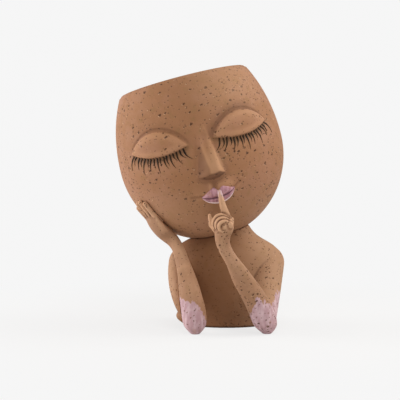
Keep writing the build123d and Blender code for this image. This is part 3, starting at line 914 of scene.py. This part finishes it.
# The bust's tones are lighter than those of the head and the arms: painted light on its lit shoulders.
BUST_LIT_TONES = (linear("a67f61"), linear("ab8466"), linear("9b7956"))
WASH_AND_SHADE_TONE, HEAD_RUBBED_LIT_TONE, LIMB_RUBBED_LIT_TONE = linear("573522"), linear("c0906a"), linear("c99e7c")
PIT_TONE, PAINTED_LIGHT_TONE, BELOW_LID_SHADE_TONE = linear("4a2c18"), linear("cba37f"), linear("5a4425")
CHEST_SHADE_TONE = linear("784b27")
PIT_SPACING, FINE_SPACING, FINE_SIZE, FINE_COVER = 3.4 * MM, 1.9 * MM, 0.23, 0.16
HEAD_PIT_SIZE, LIMB_PIT_SIZE = 0.22, 0.18
RESIN_RELIEF = 0.32 * MM
FEW_PITS_SIDE, MANY_PITS_SIDE = -60 * MM, 40 * MM


def read_attribute(tree, name):
    """The factor of a value kept on the mesh."""
    node = tree.nodes.new("ShaderNodeAttribute")
    node.attribute_name = name
    return node.outputs["Fac"]


def place_parts(tree, place):
    """The three coordinates of a place."""
    parts = tree.nodes.new("ShaderNodeSeparateXYZ")
    tree.links.new(place, parts.inputs[0])
    return parts.outputs


def resin_colour(tree, place, tones, rubbed_lit_tone, cover, pit_size, wash_and_shade=0.85, rub_and_highlight=0.8):
    """Tinted resin. Hollows are darker, partly a wash and partly painted shade; edges are lighter, partly
    rubbed paint and partly painted highlight; the pits have a painted highlight on their lips.
    Gives the colour, the pits and the mottling.
    """
    mottle = add_group(tree, mottle_group, Place=place)
    pits = add_group(tree, pits_group, Place=place, Spacing=PIT_SPACING, Size=pit_size, Cover=cover)
    fine_cover = maths(tree, "ADD", cover, FINE_COVER)
    fine = add_group(tree, pits_group, Place=place, Spacing=FINE_SPACING, Size=FINE_SIZE, Cover=fine_cover)
    proud = read_attribute(tree, "proud")
    colour = mixed(tree, ramp(tree, mottle["Slow"], 0.38, 0.64), tones[0], tones[1])
    colour = mixed(tree, ramp(tree, mottle["Fine"], 0.5, 0.75, 0.0, 0.55), colour, tones[2])
    # Painted shade and a darker wash in the hollows, then painted highlight and rubbed paint on the edges.
    colour = mixed(tree, ramp(tree, proud, -0.12, -0.9, 0.0, wash_and_shade), colour, WASH_AND_SHADE_TONE)
    colour = mixed(tree, ramp(tree, proud, 0.12, 0.8, 0.0, rub_and_highlight), colour, rubbed_lit_tone)
    lip = maths(tree, "MAXIMUM", pits["Lip"], maths(tree, "MULTIPLY", fine["Lip"], 0.6))
    core = maths(tree, "MAXIMUM", pits["Core"], maths(tree, "MULTIPLY", fine["Core"], 0.8))
    height = maths(tree, "ADD", pits["Height"], maths(tree, "MULTIPLY", fine["Height"], 0.5))
    # Painted highlight on the lit lip at the lower left of each pit.
    colour = mixed(tree, maths(tree, "MULTIPLY", lip, 0.6), colour, PAINTED_LIGHT_TONE)
    colour = mixed(tree, maths(tree, "MULTIPLY", core, 0.85), colour, PIT_TONE)
    return colour, core, height, mottle


def resin_surface(tree, shader, pit_height, mottle):
    """Roughness and relief of the resin."""
    rough = ramp(tree, mottle["Fine"], 0.3, 0.7, 0.66, 0.82)
    tree.links.new(rough, shader.inputs["Roughness"])
    shader.inputs["Specular IOR Level"].default_value = 0.28
    height = maths(tree, "ADD", pit_height, maths(tree, "MULTIPLY", mottle["Fine"], 0.4))
    height = maths(tree, "ADD", height, maths(tree, "MULTIPLY", mottle["Grain"], 0.15))
    add_bump(tree, shader, height, RESIN_RELIEF)


def cover_by_side(tree, place, low, high):
    """More pits towards the viewer's right."""
    return ramp(tree, place_parts(tree, place)["X"], FEW_PITS_SIDE, MANY_PITS_SIDE, low, high)


def near_point(tree, place, point, reach):
    """1 at a point in mm, fading to 0 at that reach."""
    away = tree.nodes.new("ShaderNodeVectorMath")
    away.operation = "DISTANCE"
    tree.links.new(place, away.inputs[0])
    away.inputs[1].default_value = tuple(v * MM for v in point)
    return ramp(tree, away.outputs["Value"], reach * MM, 0.2 * reach * MM)


# %% Head: more pits over one brow, and painted light on brow, jaw and nose
PITTED_BROW, PITTED_REACH, PITTED_SHARE = (18, -50, 166), 42, 0.16
LIT_BROW, BROW_REACH, BROW_SHARE = (2, -46, 184), 46, 0.2
LIT_NOSE, NOSE_REACH, NOSE_SHARE = on_head(NOSE_TURN, NOSE_TIP_LEVEL) + np.array((4, -8, 4)), 15, 0.22
JAW_TOP, JAW_FOOT, JAW_LIGHT_SHARE = 108 * MM, 82 * MM, 0.17
HEAD_WASH_AND_SHADE, HEAD_RUB_AND_HIGHLIGHT, BELOW_LID_SHADE_SHARE = 0.24, 0.34, 0.42


def head_material():
    """The resin of the head, with painted light on brow, jaw and nose, painted shade below the lids, and
    the painted shade of the carving.
    """
    material, tree, shader, place = start_material("cast_resin_head")
    pitted = maths(tree, "MULTIPLY", near_point(tree, place, PITTED_BROW, PITTED_REACH), PITTED_SHARE)
    cover = maths(tree, "ADD", cover_by_side(tree, place, 0.44, 0.6), pitted)
    colour, core, height, mottle = resin_colour(
        tree, place, HEAD_TONES, HEAD_RUBBED_LIT_TONE, cover, HEAD_PIT_SIZE, HEAD_WASH_AND_SHADE, HEAD_RUB_AND_HIGHLIGHT)
    # Painted light: the jaw lighter towards the bottom, and lighter spots on the brow and the nose.
    painted_light = ramp(tree, place_parts(tree, place)["Z"], JAW_TOP, JAW_FOOT, 0.0, JAW_LIGHT_SHARE)
    for point, reach, share in ((LIT_BROW, BROW_REACH, BROW_SHARE), (LIT_NOSE, NOSE_REACH, NOSE_SHARE)):
        spot = maths(tree, "MULTIPLY", near_point(tree, place, point, reach), share)
        painted_light = maths(tree, "MAXIMUM", painted_light, spot)
    colour = mixed(tree, painted_light, colour, PAINTED_LIGHT_TONE)
    # Painted shade just below each lid.
    below_lid_shade = maths(tree, "MULTIPLY", read_attribute(tree, "below_lid_shade"), BELOW_LID_SHADE_SHARE)
    colour = mixed(tree, below_lid_shade, colour, BELOW_LID_SHADE_TONE)
    # Painted shade from the carving: under and beside the nose, and above the lids.
    colour = mixed(tree, read_attribute(tree, "shade"), colour, WASH_AND_SHADE_TONE)
    tree.links.new(colour, shader.inputs["Base Color"])
    resin_surface(tree, shader, height, mottle)
    return material


head_resin = head_material()
print(head_resin.name, "nodes:", len(head_resin.node_tree.nodes))

# %% [markdown]
# ## Paint on the elbows
# The real elbows were dabbed with a nearly dry brush, so the pink ends in streaks and skips the
# pits. A picture of the paint could be laid on. A straight edge, pushed about by the brush streaks,
# needs no picture, and it can pass from the forearm to the upper arm without a seam.

# %% Pink patches: start across, height there and slope of each paint edge
PATCH_TONE, PATCH_LIGHT = linear("b28f95"), linear("d0b4ba")
LEFT_ELBOW, RIGHT_ELBOW = (-22.5, -56, 9), (26.5, -54, 9)
ELBOW_REACH, ELBOW_COVER = 12, 0.25
LEFT_INNER, LEFT_OUTER = (-16.8, 13.1, -2.6), (-19.4, 20.3, -0.32)
LOBE_RISE, LOBE_FALL = (16.2, 15.5, 2.7), (21.0, 26.0, -0.7)
UPPER_ARM_RISE, UPPER_ARM_TOP = (30.8, 18.5, 2.2), 26.5 * MM
ARM_FRONT, BUST_FRONT, FRONT_BANK = -30 * MM, -26 * MM, 4 * MM
RAGGED, BLOTTED = 16 * MM, 10 * MM
CHEST_SHADE_LEFT, CHEST_SHADE_RIGHT, CHEST_SHADE_SHARE = (-41 * MM, -33 * MM), (32 * MM, -2 * MM), 0.7
FOOT_SHADOW_LINE, FOOT_SHADOW_SHARE = (2.0 * MM, 0.8 * MM), 0.85
FINGERTIP, TIP_REACH = on_head(MOUTH_TURN, MOUTH_LEVEL) + np.array((0.4, -6.0, 1.7)), 6.5


def patch_line(tree, x, line):
    """A straight paint edge: its height in metres where x is."""
    start, height, slope = line
    return maths(tree, "MULTIPLY_ADD", maths(tree, "SUBTRACT", x, start * MM), slope, height * MM)


def limb_material(name, tones, patch_edge, patch_front, chest=False, touched_point=None):
    """Resin with a dry-brushed patch below an edge, on what lies in front of a depth.

    The chest has painted shade between the arms and a painted shadow along its foot. A touched point has
    lip paint on it.
    """
    material, tree, shader, place = start_material(name)
    x, y, z = place_parts(tree, place)
    cover = cover_by_side(tree, place, 0.4, 0.72)
    for elbow in (LEFT_ELBOW, RIGHT_ELBOW):
        dense = maths(tree, "MULTIPLY", near_point(tree, place, elbow, ELBOW_REACH), ELBOW_COVER)
        cover = maths(tree, "ADD", cover, dense)
    colour, core, height, mottle = resin_colour(tree, place, tones, LIMB_RUBBED_LIT_TONE, cover, LIMB_PIT_SIZE)
    if chest:
        # Painted shade on the chest between the arms, under the head.
        chest_shade = ramp(tree, x, *CHEST_SHADE_RIGHT, 0.0, CHEST_SHADE_SHARE)
        chest_shade = maths(tree, "MULTIPLY", chest_shade, ramp(tree, x, *CHEST_SHADE_LEFT))
        colour = mixed(tree, chest_shade, colour, CHEST_SHADE_TONE)
        # Painted shadow: a dark line along the foot of the bust, where it meets the floor.
        colour = mixed(tree, ramp(tree, z, *FOOT_SHADOW_LINE, 0.0, FOOT_SHADOW_SHARE), colour, PIT_TONE)
    streaks = add_group(tree, streaks_group, Place=place, Stretch=(1.0, 1.0, 0.28))
    ragged = maths(tree, "MULTIPLY", maths(tree, "SUBTRACT", streaks["Streak"], 0.5), RAGGED)
    blot = maths(tree, "MULTIPLY", maths(tree, "SUBTRACT", streaks["Blot"], 0.5), BLOTTED)
    uneven = maths(tree, "ADD", maths(tree, "ADD", ragged, blot), z)
    depth = maths(tree, "SUBTRACT", patch_edge(tree, x), uneven)
    front = ramp(tree, y, patch_front + FRONT_BANK, patch_front - FRONT_BANK)
    patch = maths(tree, "MULTIPLY", ramp(tree, depth, -0.7 * MM, 0.9 * MM), front)
    patch = maths(tree, "MULTIPLY", patch, ramp(tree, streaks["Blot"], 0.6, 0.74, 0.94, 0.5))
    patch = maths(tree, "MULTIPLY", patch, maths(tree, "SUBTRACT", 1.0, maths(tree, "MULTIPLY", core, 0.9)))
    paint = mixed(tree, ramp(tree, streaks["Streak"], 0.3, 0.75), PATCH_TONE, PATCH_LIGHT)
    colour = mixed(tree, patch, colour, paint)
    if touched_point is not None:
        smear = add_group(tree, streaks_group, Place=place, Stretch=(1.0, 1.0, 0.3))
        near = near_point(tree, place, touched_point, TIP_REACH)
        near = maths(tree, "MULTIPLY", near, ramp(tree, smear["Streak"], 0.42, 0.56, 0.15, 0.9))
        colour = mixed(tree, near, colour, PATCH_LIGHT)
    tree.links.new(colour, shader.inputs["Base Color"])
    resin_surface(tree, shader, height, mottle)
    return material


def left_edge(tree, x):
    """Paint edge of the viewer's left elbow, a little higher on its outer side."""
    return maths(tree, "MINIMUM", patch_line(tree, x, LEFT_OUTER), patch_line(tree, x, LEFT_INNER))


def bust_edge(tree, x):
    """On the bust only the upper arm on the viewer's right is painted."""
    return maths(tree, "MINIMUM", patch_line(tree, x, UPPER_ARM_RISE), UPPER_ARM_TOP)


def right_edge(tree, x):
    """Paint edge of the viewer's right elbow: a lobe on the forearm and another on the upper arm."""
    lobe = maths(tree, "MINIMUM", patch_line(tree, x, LOBE_RISE), patch_line(tree, x, LOBE_FALL))
    return maths(tree, "MAXIMUM", lobe, bust_edge(tree, x))


cheek_resin = limb_material("cast_resin_cheek_arm", ARM_TONES, left_edge, ARM_FRONT)
bust_resin = limb_material("cast_resin_bust", BUST_LIT_TONES, bust_edge, BUST_FRONT, chest=True)
hush_resin = limb_material("cast_resin_hush_arm", ARM_TONES, right_edge, ARM_FRONT, touched_point=FINGERTIP)
print("Painted limbs:", [material.name for material in (cheek_resin, bust_resin, hush_resin)])

# %% [markdown]
# ## The other finishes
# Lips and lashes are thick paint, laid on by hand, and a little smoother than the casting. The base
# plate is the same resin without a wash, and the plug is black rubber. Each could have a plain
# colour, but with the shared effects in small amounts they look made in the same workshop.

# %% Paint of the lips, with a painted highlight on the lower rim and painted shade in the seam
def lip_material():
    """Dusty pink paint in uneven streaks."""
    material, tree, shader, place = start_material("lip_paint")
    streaks = add_group(tree, streaks_group, Place=place, Stretch=(1.0, 1.0, 0.35))
    pits = add_group(tree, pits_group, Place=place, Spacing=0.003, Size=0.15, Cover=0.4)
    colour = mixed(tree, ramp(tree, streaks["Streak"], 0.38, 0.62), linear("9d6a73"), linear("b98a92"))
    colour = mixed(tree, ramp(tree, streaks["Blot"], 0.56, 0.7, 0.0, 0.45), colour, linear("a07058"))
    rim_light_seam_shade = read_attribute(tree, "rim_light_seam_shade")
    # Painted highlight on the lower rim, then painted shade in the seam.
    colour = mixed(tree, ramp(tree, rim_light_seam_shade, 0.06, 0.6, 0.0, 0.92), colour, linear("f0dcdc"))
    colour = mixed(tree, ramp(tree, rim_light_seam_shade, -0.1, -0.9, 0.0, 0.8), colour, linear("6e4550"))
    colour = mixed(tree, maths(tree, "MULTIPLY", pits["Core"], 0.7), colour, linear("6b3f45"))
    tree.links.new(colour, shader.inputs["Base Color"])
    tree.links.new(ramp(tree, streaks["Blot"], 0.3, 0.7, 0.42, 0.62), shader.inputs["Roughness"])
    height = maths(tree, "ADD", pits["Height"], maths(tree, "MULTIPLY", streaks["Streak"], 0.6))
    add_bump(tree, shader, height, 0.15 * MM)
    return material


def lash_material():
    """Brown black paint with a dry sheen."""
    material, tree, shader, place = start_material("lash_paint")
    streaks = add_group(tree, streaks_group, Place=place, Stretch=(1.0, 1.0, 0.5))
    colour = mixed(tree, ramp(tree, streaks["Streak"], 0.4, 0.7), linear("20140a"), linear("3f2b17"))
    tree.links.new(colour, shader.inputs["Base Color"])
    tree.links.new(ramp(tree, streaks["Blot"], 0.3, 0.7, 0.6, 0.8), shader.inputs["Roughness"])
    shader.inputs["Specular IOR Level"].default_value = 0.15
    add_bump(tree, shader, streaks["Streak"], 0.08 * MM)
    return material


lip_paint, lash_paint = lip_material(), lash_material()
print("Paints:", lip_paint.name, lash_paint.name)


# %% Base plate and drain plug
def plate_material():
    """Plain resin with a few pits."""
    material, tree, shader, place = start_material("base_resin")
    mottle = add_group(tree, mottle_group, Place=place)
    pits = add_group(tree, pits_group, Place=place, Spacing=0.0033, Size=0.18, Cover=0.45)
    colour = mixed(tree, ramp(tree, mottle["Slow"], 0.35, 0.65), linear("7f5537"), linear("926546"))
    colour = mixed(tree, maths(tree, "MULTIPLY", pits["Core"], 0.8), colour, PIT_TONE)
    tree.links.new(colour, shader.inputs["Base Color"])
    resin_surface(tree, shader, pits["Height"], mottle)
    return material


def rubber_material():
    """Black rubber, dull and slightly uneven."""
    material, tree, shader, place = start_material("plug_rubber")
    mottle = add_group(tree, mottle_group, Place=place)
    colour = mixed(tree, ramp(tree, mottle["Fine"], 0.35, 0.7), linear("1c1a19"), linear("2e2b29"))
    tree.links.new(colour, shader.inputs["Base Color"])
    tree.links.new(ramp(tree, mottle["Slow"], 0.3, 0.7, 0.5, 0.72), shader.inputs["Roughness"])
    add_bump(tree, shader, mottle["Grain"], 0.05 * MM)
    return material


plate_resin, plug_rubber = plate_material(), rubber_material()
print("Under the planter:", plate_resin.name, plug_rubber.name)

# %% [markdown]
# ## Dressing the frame
# Every piece rides on its CAD body. The pieces made here stand for their CAD nodes. The base
# plate and the drain plug are right as they are, so they stay and only get their finish.

# %% Give each piece its material and body, and hide the CAD node it stands for
dressing = (
    (leaning_head, head_resin, "head_pot", "body_resin"),
    (bust, bust_resin, "torso", "body_resin"),
    (cheek_arm, cheek_resin, "cheek_forearm", "body_resin"),
    (hush_arm, hush_resin, "hush_forearm", "body_resin"),
    (painted_lips, lip_paint, "lips", "lip_paint"),
    (left_strokes, lash_paint, "left_lashes", "lash_paint"),
    (right_strokes, lash_paint, "right_lashes", "lash_paint"),
)
for piece, material, node, slot in dressing:
    piece.data.materials.clear()
    piece.data.materials.append(material)
    piece.data.polygons.foreach_set("material_index", [0] * len(piece.data.polygons))
    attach(piece, "figure")
    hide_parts(node)
for node, material in (("base_plate", plate_resin), ("drain_plug", plug_rubber)):
    for material_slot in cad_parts[node].material_slots:
        material_slot.material = material
print("Dressed pieces:", [piece.name for piece, *_ in dressing])

# %% [markdown]
# ## Stage and light
# The planter stands on a plain pale floor. Two wide soft boxes light it from the sides, and a
# weaker one from high in front, which leaves the middle of the face a little darker than its edges.
# What the camera sees behind the planter could be a lit wall, but then more light would be needed.
# A plain pale tone, seen only by the camera and in gloss, leaves the light on the object alone.

# %% Floor
BACKGROUND = 0.92
FLOOR_RADIUS, FLOOR_DROP = 4.0, 0.2 * MM
SHADOW_FULL, SHADOW_REACH, SHADOW_SHARE = 0.09, 0.32, 0.8


def backdrop_tone(tree):
    """1 for what the camera sees straight, or in gloss or glass."""
    path = tree.nodes.new("ShaderNodeLightPath")
    seen = maths(tree, "MAXIMUM", path.outputs["Is Camera Ray"], path.outputs["Is Glossy Ray"])
    return maths(tree, "MAXIMUM", seen, path.outputs["Is Transmission Ray"])


bpy.ops.object.select_all(action="DESELECT")
bpy.ops.mesh.primitive_circle_add(
    vertices=96, radius=FLOOR_RADIUS, fill_type="TRIFAN", location=(0, 0, -FLOOR_DROP))
floor = bpy.context.object
floor.name = "pale_floor"
floor_material = bpy.data.materials.new("pale_floor")
floor_material.use_nodes = True
tree = floor_material.node_tree
shader = tree.nodes["Principled BSDF"]
shader.inputs["Base Color"].default_value = (0.8, 0.8, 0.8, 1)
shader.inputs["Roughness"].default_value = 0.9
shader.inputs["Specular IOR Level"].default_value = 0.1
glow = tree.nodes.new("ShaderNodeEmission")
glow.inputs["Color"].default_value = (BACKGROUND, BACKGROUND, BACKGROUND, 1)
place = tree.nodes.new("ShaderNodeTexCoord").outputs["Object"]
length = tree.nodes.new("ShaderNodeVectorMath")
length.operation = "LENGTH"
tree.links.new(place, length.inputs[0])
far = ramp(tree, length.outputs["Value"], SHADOW_FULL, SHADOW_REACH, SHADOW_SHARE, 1.0)
share = maths(tree, "MULTIPLY", far, backdrop_tone(tree))
mix = tree.nodes.new("ShaderNodeMixShader")
tree.links.new(share, mix.inputs[0])
tree.links.new(shader.outputs[0], mix.inputs[1])
tree.links.new(glow.outputs[0], mix.inputs[2])
tree.links.new(mix.outputs[0], tree.nodes["Material Output"].inputs["Surface"])
floor.data.materials.append(floor_material)
print("Floor radius in m:", FLOOR_RADIUS)

# %% World
WORLD_LIGHT = 0.42
world = bpy.data.worlds.new("studio")
bpy.context.scene.world = world
world.use_nodes = True
tree = world.node_tree
plain = tree.nodes["Background"]
plain.inputs["Color"].default_value = (1.0, 0.98, 0.96, 1)
plain.inputs["Strength"].default_value = WORLD_LIGHT
seen = tree.nodes.new("ShaderNodeBackground")
seen.inputs["Color"].default_value = (BACKGROUND, BACKGROUND, BACKGROUND, 1)
mix = tree.nodes.new("ShaderNodeMixShader")
tree.links.new(backdrop_tone(tree), mix.inputs[0])
tree.links.new(plain.outputs[0], mix.inputs[1])
tree.links.new(seen.outputs[0], mix.inputs[2])
tree.links.new(mix.outputs[0], tree.nodes["World Output"].inputs["Surface"])
print("World light:", WORLD_LIGHT)


# %% Soft boxes: place and size in metres, power and colour
SOFT_BOXES = {
    "right_box": ((0.58, 0.02, 0.53), 0.45, 3.4, (1.0, 0.96, 0.89)),
    "left_box": ((-0.68, 0.06, 0.24), 0.5, 4.35, (1.0, 0.96, 0.94)),
    "key_box": ((0.10, -0.54, 0.70), 0.4, 2.25, (1.0, 0.98, 0.96)),
}
LIT_MIDDLE = Vector((-0.01, 0, 0.1))


def soft_box(name, place, size, watts, colour):
    """A square area lamp that faces the middle of the planter."""
    bpy.ops.object.light_add(type="AREA", location=place)
    lamp = bpy.context.object
    lamp.name = name
    lamp.data.size = size
    lamp.data.energy = watts
    lamp.data.color = colour
    lamp.rotation_euler = (LIT_MIDDLE - Vector(place)).to_track_quat("-Z", "Y").to_euler()


for name, values in SOFT_BOXES.items():
    soft_box(name, *values)
bpy.context.scene.view_settings.view_transform = "Standard"
print("Soft boxes:", list(SOFT_BOXES))
